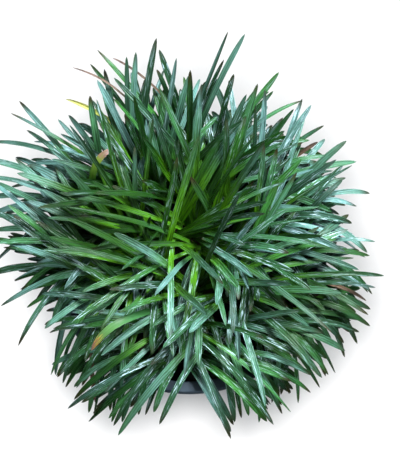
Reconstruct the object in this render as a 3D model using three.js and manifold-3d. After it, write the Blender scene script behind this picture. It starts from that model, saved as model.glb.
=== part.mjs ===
// Dwarf mondo grass in a plain nursery pot, in millimetres, +Z up.
// The origin is the centre of the pot's foot, on the surface that it stands on.
// -Y is the front of the plant and +X its right.
import * as THREE from 'three';
import { mergeVertices } from 'three/addons/utils/BufferGeometryUtils.js';
import Module from 'manifold-3d';

const wasm = await Module();
wasm.setup();

// Pot: a tapered wall with a turned-out rim that hangs down as a short skirt.
const POT_HEIGHT = 155;
const RIM_RADIUS = 82.5;
const MOUTH_RADIUS = 76.5;
const FOOT_RADIUS = 62;
const WALL = 1.7;
const FLOOR = 2.2;
const RIM_LEDGE = 1.8;
const SKIRT_DEPTH = 10;
const SKIRT_THICKNESS = 1.5;
const FOOT_ROUND = 2;
const POT_SIDES = 48;
const DRAIN_HOLES = 6;
const DRAIN_RADIUS = 5.5;
const DRAIN_CIRCLE = 46;

// Potting mix, a little higher in the middle than at the wall.
const GAP = 0.3;
const SOIL_TOP = POT_HEIGHT - 16;
const SOIL_RISE = 2;
const SOIL_SIDES = 36;

// Crown of a tuft: a six-sided spindle with bands of triangles. Each leaf grows out of one of
// the triangles that point down, which sits as the leaf's own section does, keel down.
const CROWN_SIDES = 6;
const CROWN_RADIUS = 3.7;
const CROWN_HEIGHT = 15;
const CROWN_BURIED = 22;
const BURIED_RADIUS = 0.55;
const TURNED_RADIUS = 1.6;
const TURNED_HEIGHT = 8;
// Height and radius of each ring above the soil, as shares of the crown's own.
const CROWN_RINGS = [[0.08, 0.95], [0.26, 1], [0.44, 0.96], [0.62, 0.84], [0.8, 0.6]];
const MOST_TURN = 0.7;

// Leaf: a flat-topped strap with a keel under it.
const LEAF_STATIONS = [0.3, 0.6, 0.84];
const LEAF_WIDTHS = [0.82, 1, 0.84];
const LEAF_WIDTH = 3.5;
const LEAF_KEEL = 1;
const LEAF_GAP = 0.3;
const LEAF_LEAN = 0.42;
// How far a leaf arches over the straight line to its tip: little to a high tip, more to a low
// one, and more with its run.
const ARCH_FROM = 45;
const ARCH_RANGE = 60;
const ARCH_LEAST = 5;
const ARCH_RISE = 0.07;
const ARCH_DROOP = 0.27;
// How far the draws go to either side: along, sideways and up at the bend, and in width,
// roll and twist.
const LEAN_DRAW = 0.08;
const SWING_DRAW = 4;
const BEND_DRAW = 6;
const WIDTH_DRAW = [0.78, 1.15];
const ROLL_DRAW = 0.35;
const TWIST_DRAW = 0.7;
const CALM = 0.4;
const LEAVES_PER_TUFT = 16;
const FACES_TRIED = 6;
const DRAWS = 30;
const TOUCHING = -1e-6;

// Mound: the height of its surface over the rim, lower to the front than to the back, where
// it also reaches less far. At the front the skirt of leaves parts and shows the rim.
const MOUND_RADIUS = 115;
const MOUND_HEIGHT = 74;
const MOUND_TILT = 0.28;
const MOUND_POWER = 2.6;
const SKIRT_INSET = [4, 15];
const BACK_INSET = 8;
// Where the mound reaches further out, or less far: heading and breadth in degrees, and reach.
const LOBES = [
  { heading: 162, breadth: 20, reach: 28 },
  { heading: 110, breadth: 17, reach: 14 },
  { heading: 74, breadth: 9, reach: 8 },
  { heading: 33, breadth: 8, reach: 6 },
  { heading: 14, breadth: 10, reach: -11 },
  { heading: 201, breadth: 9, reach: -18 },
  { heading: 255, breadth: 9, reach: 5 },
  { heading: 294, breadth: 12, reach: -6 },
  { heading: 340, breadth: 11, reach: 8 },
];
const PARTING = { left: -36, right: 24, front: -72 };
// The leaves that fill the mound: each tuft's turn by the golden angle, with a scatter, less
// of a turn the further out it stands. They run out level and end under the mound's surface.
const GOLDEN_ANGLE = Math.PI * (3 - Math.sqrt(5));
const TURN_DRAW = 0.3;
const LEAST_TURN = 0.33;
const LEAST_TURN_OFFSET = 54.6;
const RUN = [46, 92];
const SINK = [4, 24];
const SINK_BEHIND = 60;

const UP = new THREE.Vector3(0, 0, 1);

// Crowns, as they stand in the pot, and the leaves of each that lead the outline and the top
// of the mound: tip x, tip y and tip height over the rim.
const CROWNS = [
  { at: [-11, 12], tips: [[-55, 75, 52], [18, -36, 62], [-35, -25, 50]] },
  { at: [-1, 33], tips: [[-24, 43, 70], [-19, 32, 72], [1, 86, 66]] },
  { at: [20, 29], tips: [[39, 82, 58], [59, 67, 56], [100, 51, 20], [86, -12, 40]] },
  { at: [38, -4], tips: [[105, -6, 14], [100, -43, 22], [37, -41, 46]] },
  { at: [25, -22], tips: [[91, 6, 26], [110, -21, 24], [73, -77, 18], [42, -92, 14], [1, -59, 52]] },
  { at: [7, 6], tips: [[77, -55, 34], [-62, -51, 38], [-68, 11, 50], [56, -26, 50], [26, -36, 56]] },
  { at: [-17, -11], tips: [[-77, -23, 24], [-79, -12, 44], [-75, -6, 48], [-20, -64, 18]] },
  { at: [5, -21], tips: [[-46, -67, 30], [-36, -48, 50], [27, 10, 72], [-2, -77, 24], [-12, -72, 8]] },
  { at: [23, 6], tips: [[70, 73, 50], [92, 38, 44], [81, 36, 56], [32, -36, 50], [15, -44, 50]] },
  { at: [-31, -1], tips: [[-108, -35, 10], [-102, -19, 8], [-13, -10, 58]] },
  { at: [-33, 19], tips: [[-99, 0, 8], [-98, 70, 24], [-77, 71, 36]] },
  { at: [-20, 36], tips: [[-53, 89, 50], [-30, 70, 66], [-7, 96, 62]] },
  { at: [10, 50], tips: [[-53, 106, 55], [26, 93, 50], [52, 93, 52]] },
  { at: [-10, 54], tips: [[-58, 101, 48], [22, 107, 72], [33, 104, 74], [-41, 68, 66]] },
  { at: [33, 45], tips: [[67, 59, 30], [80, 70, 30]] },
  { at: [41, 18], tips: [[44, 84, 48], [65, 77, 50], [92, 58, 34]] },
  { at: [56, 4], tips: [[107, 0, 22]] },
  { at: [49, -22], tips: [[107, -25, 14], [105, -36, 6], [105, -45, 2]] },
  { at: [39, -41], tips: [[98, -49, 4], [90, -59, 0], [80, -63, -4]] },
  { at: [18, -42], tips: [[67, -71, 0], [64, -67, 18], [54, -93, -14], [34, -95, -6], [-17, -99, -14]] },
  { at: [-4, -43], tips: [[59, -92, -14], [49, -99, -16], [24, -107, -14]] },
  { at: [-25, -33], tips: [[-65, -79, -8], [-83, -30, 18]] },
  { at: [-43, -20], tips: [[-81, -71, -12], [-81, -49, 14]] },
  { at: [-51, 2], tips: [[-100, -55, -6], [-109, 2, 2], [-119, 13, 4], [-121, 42, 12]] },
  { at: [-50, 24], tips: [[-125, 32, 8], [-127, 45, 10], [-126, 56, 14], [-108, 49, 14], [-101, 81, 36]] },
  { at: [-37, 43], tips: [[-18, 104, 70], [-30, 100, 62], [-35, 96, 64], [-104, 73, 40], [-122, 67, 14]] },
  { at: [54, 30], tips: [[108, 33, 14], [98, 29, 12]] },
  { at: [-3, -58], tips: [[58, -77, 4], [44, -98, -14], [-20, -93, -6], [-46, -96, -10], [-69, -91, -6]] },
  { at: [-38, -44], tips: [[-46, -91, -16], [-56, -94, -20], [-75, -74, 0]] },
  { at: [0, 15], tips: [[-22, 60, 66]] },
  { at: [57, -38], tips: [] },
  { at: [2, 64], tips: [] },
  { at: [-60, -12], tips: [] },
  { at: [31, 62], tips: [] },
  { at: [-21, -57], tips: [[-29, -94, -10]] },
  { at: [22, -61], tips: [] },
];

const STALK = 0x6b4a2e;
// Leaves that have turned, each in a hole of its own: name, foot, tip, leaf width and colour.
// Those that lie out of the mound have the middle point of their curve as well.
const TURNED = [
  { name: 'yellow_leaf', at: [-25, 62], bend: [-42, 75, 36], tip: [-72, 81, 42], width: 3, color: 0xc9b832 },
  {
    name: 'orange_leaf', at: [-8, -30], bend: [-35, -52, 76], tip: [-53, -63, 24], width: 3.6,
    color: 0x8a7a34,
  },
  { name: 'dry_leaf_1', at: [62, -13], tip: [103, -31, 6], width: 2.6, color: 0x8b5e3c },
  { name: 'dry_leaf_2', at: [56, 16], tip: [84, -3, 20], width: 2.4, color: 0xa98458 },
  { name: 'dry_leaf_3', at: [-55, -31], tip: [-54, -87, -10], width: 2.6, color: 0x9a7a4c },
  { name: 'dry_leaf_4', at: [14, -60], tip: [40, -85, -10], width: 2.6, color: 0xa98458 },
  { name: 'dry_leaf_5', at: [47, 47], tip: [77, 62, 24], width: 2.4, color: 0x8b5e3c },
  { name: 'dry_stalk_1', at: [-12, 67], bend: [-31, 87, 49], tip: [-67, 95, 54], width: 1.3, color: STALK },
  { name: 'dry_stalk_2', at: [13, 63], bend: [-16, 92, 49], tip: [-44, 100, 56], width: 1.3, color: STALK },
];

const random = seeded(10);

// Mulberry32: the same draws on each run, from 0 to 1.
function seeded(seed) {
  let state = seed;
  return () => {
    state = (state + 0x6d2b79f5) | 0;
    let mixed = Math.imul(state ^ (state >>> 15), 1 | state);
    mixed = (mixed + Math.imul(mixed ^ (mixed >>> 7), 61 | mixed)) ^ mixed;
    return ((mixed ^ (mixed >>> 14)) >>> 0) / 4294967296;
  };
}

function between(low, high) {
  return low + (high - low) * random();
}

function solid(geometry) {
  const bare = geometry.clone();
  bare.deleteAttribute('normal');
  bare.deleteAttribute('uv');
  const merged = mergeVertices(bare, 1e-4);
  return new wasm.Manifold(new wasm.Mesh({
    numProp: 3,
    vertProperties: new Float32Array(merged.attributes.position.array),
    triVerts: new Uint32Array(merged.index.array),
  }));
}

function geometryOf(body) {
  const mesh = body.getMesh();
  const geometry = new THREE.BufferGeometry();
  geometry.setAttribute('position', new THREE.BufferAttribute(mesh.vertProperties, 3));
  geometry.setIndex(new THREE.BufferAttribute(mesh.triVerts, 1));
  geometry.computeVertexNormals();
  return geometry;
}

function named(name, geometry, look) {
  const mesh = new THREE.Mesh(geometry, new THREE.MeshStandardMaterial(look));
  mesh.name = name;
  return mesh;
}

function lathe(profile, sides) {
  const points = profile.map(([r, z]) => new THREE.Vector2(r, z));
  const geometry = new THREE.LatheGeometry(points, sides);
  geometry.rotateX(Math.PI / 2);
  return geometry;
}

// Rings of a six-sided spindle, each turned half a side past the one below it.
function hexRing(x, y, z, radius, turn) {
  const ring = [];
  for (let i = 0; i < CROWN_SIDES; i++) {
    const angle = ((i + turn / 2) / CROWN_SIDES) * 2 * Math.PI;
    ring.push(new THREE.Vector3(x + radius * Math.cos(angle), y + radius * Math.sin(angle), z));
  }
  return ring;
}

// Convex hull of two rings joined by straight sides, as points, edge directions and face
// normals, for the clearance test.
function hullBetween(first, second) {
  const sides = first.length;
  const edges = [];
  const normals = [];
  const minus = (a, b) => new THREE.Vector3().subVectors(a, b);
  const cross = (a, b) => new THREE.Vector3().crossVectors(a, b);
  for (let i = 0; i < sides; i++) {
    const next = (i + 1) % sides;
    const low = minus(first[next], first[i]);
    const high = minus(second[next], second[i]);
    const rise = minus(second[i], first[i]);
    const back = minus(second[i], first[next]);
    const ahead = minus(second[next], first[i]);
    edges.push(low, high, rise, back, ahead);
    normals.push(cross(low, rise), cross(high, back), cross(low, ahead), cross(high, ahead));
  }
  normals.push(cross(minus(first[1], first[0]), minus(first[2], first[0])));
  normals.push(cross(minus(second[1], second[0]), minus(second[2], second[0])));
  const points = [...first, ...second];
  return {
    points,
    edges: edges.filter((edge) => edge.lengthSq() > 1e-6),
    normals: normals.filter((normal) => normal.lengthSq() > 1e-6),
    box: new THREE.Box3().setFromPoints(points),
  };
}

// Distance between two hulls along an axis, below 0 where they overlap on it.
function gapAlong(x, y, z, one, other) {
  const length = Math.sqrt(x * x + y * y + z * z);
  if (length < 1e-3) return -1;
  let oneLow = Infinity;
  let oneHigh = -Infinity;
  for (const p of one) {
    const d = p.x * x + p.y * y + p.z * z;
    if (d < oneLow) oneLow = d;
    if (d > oneHigh) oneHigh = d;
  }
  let otherLow = Infinity;
  let otherHigh = -Infinity;
  for (const p of other) {
    const d = p.x * x + p.y * y + p.z * z;
    if (d < otherLow) otherLow = d;
    if (d > otherHigh) otherHigh = d;
  }
  return Math.max(otherLow - oneHigh, oneLow - otherHigh) / length;
}

function hullsClear(one, other, gap) {
  const a = one.box;
  const b = other.box;
  if (a.min.x - b.max.x > gap || b.min.x - a.max.x > gap) return true;
  if (a.min.y - b.max.y > gap || b.min.y - a.max.y > gap) return true;
  if (a.min.z - b.max.z > gap || b.min.z - a.max.z > gap) return true;
  for (const n of one.normals) {
    if (gapAlong(n.x, n.y, n.z, one.points, other.points) > gap) return true;
  }
  for (const n of other.normals) {
    if (gapAlong(n.x, n.y, n.z, one.points, other.points) > gap) return true;
  }
  for (const e of one.edges) {
    for (const f of other.edges) {
      const x = e.y * f.z - e.z * f.y;
      const y = e.z * f.x - e.x * f.z;
      const z = e.x * f.y - e.y * f.x;
      if (gapAlong(x, y, z, one.points, other.points) > gap) return true;
    }
  }
  return false;
}

function soilHeight(radius) {
  return SOIL_TOP + SOIL_RISE * (1 - (radius / MOUTH_RADIUS) ** 2);
}

// A leaf keeps off the potting mix, the pot's wall and its rim.
function clearOfPot(p) {
  const radius = Math.hypot(p.x, p.y);
  if (radius > RIM_RADIUS + 2) return true;
  if (radius > MOUTH_RADIUS - 2) return p.z > POT_HEIGHT + 1;
  return p.z > soilHeight(radius) + 1;
}

// Sections of a leaf: left edge, right edge and keel at each station, between the face of
// the crown that it grows from and its tip.
function leafShape(leaf) {
  const curve = new THREE.QuadraticBezierCurve3(leaf.root, leaf.bend, leaf.tip);
  const sections = LEAF_STATIONS.map((t, i) => {
    const middle = curve.getPoint(t);
    const along = curve.getTangent(t);
    const side = new THREE.Vector3().crossVectors(along, UP).normalize();
    side.applyAxisAngle(along, leaf.roll + leaf.twist * t);
    const down = new THREE.Vector3().crossVectors(along, side);
    const half = (leaf.width * LEAF_WIDTHS[i]) / 2;
    return [
      middle.clone().addScaledVector(side, -half),
      middle.clone().addScaledVector(side, half),
      middle.clone().addScaledVector(down, LEAF_KEEL),
    ];
  });
  const rings = [leaf.face.map((corner) => corner.point), ...sections];
  return { face: leaf.face, rings, apex: leaf.tip.clone() };
}

// Whether the upper side of a leaf turns little enough, from its face to its first section,
// to leave its root whole.
function rootWhole({ rings }) {
  const [edge, section] = rings.map(([left, right]) => new THREE.Vector3().subVectors(right, left));
  return edge.angleTo(section) < MOST_TURN;
}

function mix(first, second, share) {
  return first.map((p, i) => p.clone().lerp(second[i], share));
}

// The hulls that a leaf fills, the first of them its root, which meets its neighbours' roots
// at the corners of the crown.
function leafHulls({ rings, apex }) {
  const stops = [...rings, rings[0].map(() => apex)];
  return stops.slice(1).map((ring, i) => hullBetween(stops[i], ring));
}

const taken = [];

function leafFits(hulls, owner) {
  for (const [part, hull] of hulls.entries()) {
    const [l0, r0, k0, l1, r1, k1] = hull.points;
    for (let share = 0.125; share <= 1; share += 0.125) {
      for (const p of mix([l0, r0, k0], [l1, r1, k1], share)) {
        if (!clearOfPot(p)) return false;
      }
    }
    for (const other of taken) {
      const joined = other.owner === owner && part === 0 && other.part === 0;
      const gap = joined ? TOUCHING : LEAF_GAP;
      if (!hullsClear(hull, other.hull, gap)) return false;
    }
  }
  return true;
}

// A leaf from a face of its crown to a tip, with its bend drawn anew at each attempt unless
// the crown has one.
function leafFrom(crown, face, tip, loose) {
  const root = new THREE.Vector3();
  for (const corner of face) root.addScaledVector(corner.point, 1 / face.length);
  const run = Math.hypot(tip.x - root.x, tip.y - root.y);
  const droop = THREE.MathUtils.clamp((ARCH_FROM - (tip.z - POT_HEIGHT)) / ARCH_RANGE, 0, 1);
  const arch = ARCH_LEAST + run * (ARCH_RISE + ARCH_DROOP * droop);
  const lean = LEAF_LEAN + between(-LEAN_DRAW, LEAN_DRAW) * (CALM + loose);
  const swing = between(-SWING_DRAW, SWING_DRAW) * loose;
  const bend = root.clone().lerp(tip, lean);
  bend.z += 2 * arch + between(-BEND_DRAW, BEND_DRAW) * (CALM + loose);
  bend.x += (swing * (tip.y - root.y)) / run;
  bend.y -= (swing * (tip.x - root.x)) / run;
  return {
    face,
    root,
    bend: crown.bend ?? bend,
    tip,
    width: crown.leafWidth * between(...WIDTH_DRAW),
    roll: between(-ROLL_DRAW, ROLL_DRAW),
    twist: between(-TWIST_DRAW, TWIST_DRAW),
  };
}

// The crown's free faces, the ones that look most towards a heading first.
function facesTowards(crown, heading) {
  const turnFrom = (face) => {
    const x = face.reduce((sum, corner) => sum + corner.point.x, 0) / 3 - crown.x;
    const y = face.reduce((sum, corner) => sum + corner.point.y, 0) / 3 - crown.y;
    return 1 - Math.cos(Math.atan2(y, x) - heading);
  };
  return [...crown.free].sort((a, b) => turnFrom(a) - turnFrom(b));
}

// Tries a leaf with its tip near the wanted place, ever further from it, until one is clear.
function placeLeaf(crown, wanted, spread, tries) {
  const heading = Math.atan2(wanted.y - crown.y, wanted.x - crown.x);
  const faces = facesTowards(crown, heading).slice(0, FACES_TRIED);
  for (let attempt = 0; attempt < tries; attempt++) {
    const loose = attempt / tries;
    const reach = spread * loose;
    const tip = new THREE.Vector3(
      wanted.x + between(-reach, reach),
      wanted.y + between(-reach, reach),
      wanted.z + between(-reach, reach) * 1.5,
    );
    const face = faces[attempt % faces.length];
    const shape = leafShape(leafFrom(crown, face, tip, loose));
    const hulls = leafHulls(shape);
    if (rootWhole(shape) && leafFits(hulls, crown.name)) {
      hulls.forEach((hull, part) => taken.push({ owner: crown.name, part, hull }));
      crown.leaves.push(shape);
      crown.free.delete(face);
      return true;
    }
  }
  return false;
}

function tipOf([x, y, over]) {
  return new THREE.Vector3(x, y, POT_HEIGHT + over);
}

// How far the mound reaches from its middle at a heading in radians.
function moundEdge(heading) {
  let edge = MOUND_RADIUS;
  for (const lobe of LOBES) {
    const turn = THREE.MathUtils.euclideanModulo((heading * 180) / Math.PI - lobe.heading + 180, 360) - 180;
    edge += lobe.reach * Math.exp(-0.5 * (turn / lobe.breadth) ** 2);
  }
  return edge;
}

// A tip drawn for one of a tuft's other leaves: outward for the outer crowns, all round for
// the inner ones, under the surface of the mound.
function drawnTip(crown, count) {
  const offset = Math.hypot(crown.x, crown.y);
  const outward = Math.atan2(crown.y, crown.x);
  const turn = ((count * GOLDEN_ANGLE + between(-TURN_DRAW, TURN_DRAW)) % (2 * Math.PI)) - Math.PI;
  const share = 1 - (1 - LEAST_TURN) * Math.min(offset / LEAST_TURN_OFFSET, 1);
  const heading = outward + turn * share;
  const run = between(...RUN);
  const x = crown.x + run * Math.cos(heading);
  const y = crown.y + run * Math.sin(heading);
  const far = Math.hypot(x, y);
  const inset = between(...SKIRT_INSET) + BACK_INSET * Math.max(0, y / far);
  const edge = moundEdge(Math.atan2(y, x));
  const radius = Math.min(far, edge - inset);
  const shrink = radius / far;
  const dome = MOUND_HEIGHT * (1 - (radius / edge) ** MOUND_POWER);
  const behind = Math.max(0, y) / MOUND_RADIUS;
  const over = dome + MOUND_TILT * y * shrink - between(SINK[0], SINK[1] + SINK_BEHIND * behind);
  return new THREE.Vector3(x * shrink, y * shrink, POT_HEIGHT + over);
}

function inParting({ x, y }) {
  return x > PARTING.left && x < PARTING.right && y < PARTING.front;
}

// A crown with its corners, numbered as they stand in the tuft's own geometry, and the faces
// above the soil that are free for a leaf: upper left, upper right and lower corner.
function newCrown(name, [x, y], radius, height, leafWidth) {
  const low = soilHeight(Math.hypot(x, y));
  const rings = CROWN_RINGS.map(([up, out], i) => hexRing(x, y, low + height * up, radius * out, i + 1));
  rings.unshift(hexRing(x, y, low - CROWN_BURIED, radius * BURIED_RADIUS, 0));
  const corners = rings.flat().map((point, number) => ({ point, number }));
  const top = { point: new THREE.Vector3(x, y, low + height), number: corners.length };
  const corner = (ring, i) => corners[ring * CROWN_SIDES + (i % CROWN_SIDES)];
  const crown = { name, x, y, radius, leafWidth, corners: [...corners, top], plain: [], leaves: [] };
  crown.free = new Set();
  for (let i = 1; i < CROWN_SIDES - 1; i++) crown.plain.push([corners[0], corners[i + 1], corners[i]]);
  for (let ring = 0; ring < rings.length - 1; ring++) {
    for (let i = 0; i < CROWN_SIDES; i++) {
      crown.plain.push([corner(ring, i), corner(ring, i + 1), corner(ring + 1, i)]);
      const pointingDown = [corner(ring + 1, i + 1), corner(ring + 1, i), corner(ring, i + 1)];
      if (ring === 0) {
        crown.plain.push(pointingDown);
      } else {
        crown.free.add(pointingDown);
      }
    }
  }
  for (let i = 0; i < CROWN_SIDES; i++) {
    crown.plain.push([corner(rings.length - 1, i), corner(rings.length - 1, i + 1), top]);
  }
  const stops = [...rings.slice(1), rings[0].map(() => top.point)];
  for (const [i, ring] of stops.slice(1).entries()) {
    taken.push({ owner: name, part: 0, hull: hullBetween(stops[i], ring) });
  }
  return crown;
}

// Whether a twisted wall between edges ab and cd bulges when it is folded along bc.
function foldsOut(a, b, c, d) {
  const normal = new THREE.Triangle(a, b, c).getNormal(new THREE.Vector3());
  return normal.dot(new THREE.Vector3().subVectors(d, a)) <= 0;
}

// The crown and its leaves in one skin: each leaf takes the place of the face it grows from.
function tuftGeometry(crown) {
  const points = crown.corners.map((corner) => corner.point);
  const index = [];
  for (const face of [...crown.plain, ...crown.free]) index.push(...face.map((corner) => corner.number));
  for (const { face, rings, apex } of crown.leaves) {
    const numbers = [face.map((corner) => corner.number)];
    for (const ring of rings.slice(1)) {
      numbers.push(ring.map((point) => points.push(point) - 1));
    }
    const end = points.push(apex) - 1;
    for (let k = 0; k < numbers.length; k++) {
      for (let i = 0; i < 3; i++) {
        const a = numbers[k][i];
        const b = numbers[k][(i + 1) % 3];
        if (k === numbers.length - 1) {
          index.push(a, b, end);
          continue;
        }
        const c = numbers[k + 1][i];
        const d = numbers[k + 1][(i + 1) % 3];
        if (foldsOut(points[a], points[b], points[c], points[d])) {
          index.push(a, b, c, b, d, c);
        } else {
          index.push(a, b, d, a, d, c);
        }
      }
    }
  }
  const geometry = new THREE.BufferGeometry().setFromPoints(points);
  geometry.setIndex(index);
  geometry.computeVertexNormals();
  return geometry;
}

function makePot() {
  const profile = [
    [0, 0],
    [FOOT_RADIUS - FOOT_ROUND, 0],
    [FOOT_RADIUS, FOOT_ROUND],
    [MOUTH_RADIUS + WALL, POT_HEIGHT - RIM_LEDGE],
    [RIM_RADIUS - SKIRT_THICKNESS, POT_HEIGHT - RIM_LEDGE],
    [RIM_RADIUS - SKIRT_THICKNESS, POT_HEIGHT - SKIRT_DEPTH],
    [RIM_RADIUS, POT_HEIGHT - SKIRT_DEPTH],
    [RIM_RADIUS, POT_HEIGHT - 1],
    [RIM_RADIUS - 1, POT_HEIGHT],
    [MOUTH_RADIUS, POT_HEIGHT],
    [FOOT_RADIUS - WALL, FLOOR],
    [0, FLOOR],
  ];
  let body = solid(lathe(profile, POT_SIDES));
  for (let i = 0; i < DRAIN_HOLES; i++) {
    const angle = (i / DRAIN_HOLES) * 2 * Math.PI;
    const drill = new THREE.CylinderGeometry(DRAIN_RADIUS, DRAIN_RADIUS, FLOOR * 4, 12);
    drill.rotateX(Math.PI / 2);
    drill.translate(DRAIN_CIRCLE * Math.cos(angle), DRAIN_CIRCLE * Math.sin(angle), 0);
    body = body.subtract(solid(drill));
  }
  return named('pot', geometryOf(body), { color: 0x3a444c, roughness: 0.5, metalness: 0 });
}

function makeSoil(crowns) {
  const low = FLOOR + GAP;
  const wallAt = (z) => {
    const share = (z - FLOOR) / (POT_HEIGHT - FLOOR);
    return FOOT_RADIUS - WALL + share * (MOUTH_RADIUS - FOOT_RADIUS + WALL);
  };
  // The flats of the pot's many-sided wall lie nearer to the axis than its corners.
  const flats = Math.cos(Math.PI / POT_SIDES);
  const profile = [
    [0, low],
    [wallAt(low) * flats - GAP, low],
    [wallAt(SOIL_TOP) * flats - GAP, SOIL_TOP],
    [MOUTH_RADIUS * 0.6, soilHeight(MOUTH_RADIUS * 0.6)],
    [0, soilHeight(0)],
  ];
  let body = solid(lathe(profile, SOIL_SIDES));
  for (const { x, y, radius } of crowns) {
    const floor = soilHeight(Math.hypot(x, y)) - CROWN_BURIED - GAP;
    const hole = radius / Math.cos(Math.PI / CROWN_SIDES) + GAP;
    const top = SOIL_TOP + 12;
    const drill = new THREE.CylinderGeometry(hole, hole, top - floor, CROWN_SIDES);
    drill.rotateX(Math.PI / 2);
    drill.translate(x, y, (top + floor) / 2);
    body = body.subtract(solid(drill));
  }
  return named('potting_mix', geometryOf(body), { color: 0x2b211b, roughness: 1, metalness: 0 });
}

const tufts = CROWNS.map(({ at, tips }, i) => {
  const name = `tuft_${String(i + 1).padStart(2, '0')}`;
  return { ...newCrown(name, at, CROWN_RADIUS, CROWN_HEIGHT, LEAF_WIDTH), tips };
});
const turned = TURNED.map(({ name, at, bend, tip, width, color }) => {
  const crown = newCrown(name, at, TURNED_RADIUS, TURNED_HEIGHT, width);
  return { ...crown, bend: bend && tipOf(bend), tips: [tip], color };
});

for (const crown of [...turned, ...tufts]) {
  for (const tip of crown.tips) placeLeaf(crown, tipOf(tip), 8, 240);
}
for (let count = 0; count < LEAVES_PER_TUFT; count++) {
  for (const crown of tufts) {
    if (crown.leaves.length >= LEAVES_PER_TUFT) continue;
    for (let draw = 0; draw < DRAWS; draw++) {
      const tip = drawnTip(crown, count * DRAWS + draw);
      if (!inParting(tip) && placeLeaf(crown, tip, 6, 8)) break;
    }
  }
}

const plant = new THREE.Group();
plant.add(makePot());
plant.add(makeSoil([...tufts, ...turned]));
for (const crown of tufts) {
  plant.add(named(crown.name, tuftGeometry(crown), { color: 0x2f6b3a, roughness: 0.35, metalness: 0 }));
}
for (const crown of turned) {
  plant.add(named(crown.name, tuftGeometry(crown), { color: crown.color, roughness: 0.6, metalness: 0 }));
}

export default plant;
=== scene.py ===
"""A potted dwarf mondo grass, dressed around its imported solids. Lengths are in metres."""

import math
import random

import bpy
from mathutils import Matrix, Vector, noise


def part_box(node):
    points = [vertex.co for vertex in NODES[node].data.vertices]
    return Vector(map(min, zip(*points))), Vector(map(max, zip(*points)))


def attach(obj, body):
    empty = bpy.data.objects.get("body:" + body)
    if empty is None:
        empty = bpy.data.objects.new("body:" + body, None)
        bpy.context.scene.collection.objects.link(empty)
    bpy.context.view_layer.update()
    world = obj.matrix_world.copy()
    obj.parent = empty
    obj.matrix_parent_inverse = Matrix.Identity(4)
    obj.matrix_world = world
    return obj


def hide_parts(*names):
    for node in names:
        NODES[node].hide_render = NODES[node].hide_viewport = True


MM = 0.001
UP = Vector((0, 0, 1))

# Corners are one where they agree to this many digits, and a vector shorter than this has
# no direction.
WELD_DIGITS = 7
SHORTEST_SIDE = 1e-6

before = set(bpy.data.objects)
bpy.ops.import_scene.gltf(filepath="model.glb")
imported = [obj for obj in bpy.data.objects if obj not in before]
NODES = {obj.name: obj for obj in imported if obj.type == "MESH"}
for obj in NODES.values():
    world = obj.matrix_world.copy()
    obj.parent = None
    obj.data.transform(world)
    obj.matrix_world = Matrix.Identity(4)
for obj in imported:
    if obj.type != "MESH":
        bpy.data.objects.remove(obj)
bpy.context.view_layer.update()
TUFTS = sorted(name for name in NODES if name.startswith("tuft_"))

# The pot, as in the part's source. Its edges are rounded by EDGE_ROUND, but by no more than the
# share LONGEST_CUT of the side next to them.
POT_LOW, POT_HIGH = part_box("pot")
POT_HEIGHT = POT_HIGH.z
RIM_RADIUS = (POT_HIGH.x - POT_LOW.x) / 2
RIM_BREADTH = 6 * MM
MOUTH_RADIUS = RIM_RADIUS - RIM_BREADTH
FOOT_RADIUS = 62 * MM
FOOT_INNER = 60.3 * MM
POT_FLOOR = 2.2 * MM
SKIRT_DEPTH = 10 * MM
SKIRT_INNER = 81 * MM
LEDGE_RADIUS = 78.2 * MM
LEDGE = 1.8 * MM
EDGE_ROUND = 0.9 * MM
LONGEST_CUT = 0.45
POT_SIDES = 144
DRAIN_HOLES = 6
DRAIN_CIRCLE = 46 * MM
DRAIN_RADIUS = 5.5 * MM
DRAIN_SIDES = 32
DRILL_LOW = -4 * MM
DRILL_HIGH = 7 * MM

# The potting mix: its surface, the lumps in it and the bark chips that lie on it.
SOIL_TOP = POT_HEIGHT - 16 * MM
SOIL_RISE = 2 * MM
SOIL_GAP = 0.3 * MM
SOIL_SIDES = 120
SOIL_RINGS = 36
LUMP_SCALE = 240
LUMP_HEIGHT = 1.3 * MM
LUMP_ROUGHNESS = 0.8
LUMP_FINER = 2.1
LUMP_OCTAVES = 4
CHIPS = 420
CHIP_TO_WALL = 4 * MM
CHIP_SIDES = (5, 6)
CHIP_SLANT = 0.6
CHIP_LENGTH = (1.4 * MM, 4.2 * MM)
CHIP_BREADTH = (0.35, 0.7)
CHIP_THICK = (0.6 * MM, 1.3 * MM)
CHIP_CORNER = (0.75, 1.15)
CHIP_TAPER = 0.12

# A leaf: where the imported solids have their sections, and where the dressed leaf has its own,
# as shares of the leaf's length and of half its width.
LEAF_STATIONS = (0.3, 0.6, 0.84)
LEAF_STEPS = (0, 0.07, 0.15, 0.25, 0.35, 0.45, 0.55, 0.65, 0.74, 0.81, 0.87, 0.92, 0.955, 0.98, 1)
TOP_ACROSS = (-1, -0.68, -0.34, 0, 0.34, 0.68, 1)
UNDER_ACROSS = (0.62, 0, -0.62)

# The leaf's section: depth of the channel, height of the ribs in it, depth of the keel under
# it, thickness of its edges, and how square the channel and the keel are.
CHANNEL = 0.52 * MM
RIB = 0.10 * MM
RIB_WAVES = 3
KEEL = 0.95 * MM
EDGE = 0.14 * MM
CHANNEL_CURVE = 1.4
KEEL_CURVE = 1.6

# The leaf's width along it, as a share of its full width, and how far it wavers: SWAY_ALONG is
# in radians over its length, and SWAY_PHASE sets the leaves apart by their tone.
FOOT_WIDTH = 0.68
FOOT_END = 0.45
TIP_FROM = 0.76
TIP_CURVE = 2.4
TIP_BLUNTNESS = 0.58
TIP_WIDTH = 0.05
SWAY = 0.35 * MM
SWAY_ALONG = 7
SWAY_PHASE = 40

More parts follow.
